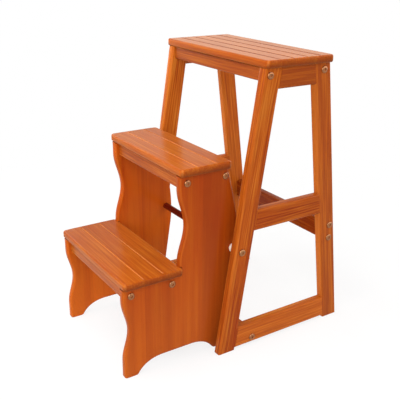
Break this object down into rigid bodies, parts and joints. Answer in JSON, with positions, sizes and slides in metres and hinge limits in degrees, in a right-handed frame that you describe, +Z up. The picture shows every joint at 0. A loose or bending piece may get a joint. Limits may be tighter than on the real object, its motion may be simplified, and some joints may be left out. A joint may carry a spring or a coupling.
{
  "type": "folding step stool chair",
  "caption": "Wooden folding step stool chair: a leaning-leg stand with a slatted top tread, and a hinged two-step unit that swings up and over into the stand.",
  "frame": {"origin": "on the floor, in the middle of the stool's outer box, with the steps folded out", "axes": "+X towards the stool's right side seen from the front, +Y from the steps to the back, +Z up"},
  "size_m": [0.38, 0.5554, 0.63],
  "materials": {
    "frame_wood": "orange-brown gloss lacquer over close-grained softwood",
    "tread_wood": "orange-brown gloss lacquer over close-grained softwood",
    "rod_wood": "dark red-brown lacquer",
    "screw_steel": "plated, satin",
    "bolt_bronze": "plated, antique bronze tone",
    "insert_brass": "machined",
    "spacer_nylon": "natural nylon, satin"
  },
  "bodies": {
    "stand": {"left_front_stile": "frame_wood", "left_rear_stile": "frame_wood", "left_top_rail": "frame_wood", "left_middle_rail": "frame_wood", "left_bottom_rail": "frame_wood", "right_front_stile": "frame_wood", "right_rear_stile": "frame_wood", "right_top_rail": "frame_wood", "right_middle_rail": "frame_wood", "right_bottom_rail": "frame_wood", "top_front_bar": "frame_wood", "top_rear_bar": "frame_wood", "front_stretcher": "frame_wood", "rear_cross_rail": "frame_wood", "left_top_front_screw": "screw_steel", "left_top_rear_screw": "screw_steel", "left_stretcher_screw": "screw_steel", "left_cross_rail_upper_screw": "screw_steel", "left_cross_rail_lower_screw": "screw_steel", "right_top_front_screw": "screw_steel", "right_top_rear_screw": "screw_steel", "right_stretcher_screw": "screw_steel", "right_cross_rail_upper_screw": "screw_steel", "right_cross_rail_lower_screw": "screw_steel", "top_tread_board_1": "tread_wood", "top_tread_board_2": "tread_wood", "top_tread_board_3": "tread_wood", "top_tread_board_4": "tread_wood", "top_tread_board_5": "tread_wood"},
    "step_unit": {"left_side_panel": "frame_wood", "right_side_panel": "frame_wood", "lower_front_bar": "frame_wood", "lower_rear_bar": "frame_wood", "middle_front_bar": "frame_wood", "middle_rear_bar": "frame_wood", "left_lower_front_screw": "screw_steel", "left_lower_rear_screw": "screw_steel", "left_middle_front_screw": "screw_steel", "left_middle_rear_screw": "screw_steel", "right_lower_front_screw": "screw_steel", "right_lower_rear_screw": "screw_steel", "right_middle_front_screw": "screw_steel", "right_middle_rear_screw": "screw_steel", "lower_tread_board_1": "tread_wood", "lower_tread_board_2": "tread_wood", "lower_tread_board_3": "tread_wood", "middle_tread_board_1": "tread_wood", "middle_tread_board_2": "tread_wood", "middle_tread_board_3": "tread_wood", "pivot_rod": "rod_wood", "left_pivot_bolt": "bolt_bronze", "left_rod_insert": "insert_brass", "left_spacer": "spacer_nylon", "right_pivot_bolt": "bolt_bronze", "right_rod_insert": "insert_brass", "right_spacer": "spacer_nylon"}
  },
  "joints": [
    {"name": "step_fold", "type": "hinge", "parent": "stand", "child": "step_unit", "pos_m": [0, -0.0157, 0.235], "axis": [-1, 0, 0], "range_deg": [0, 180]}
  ]
}
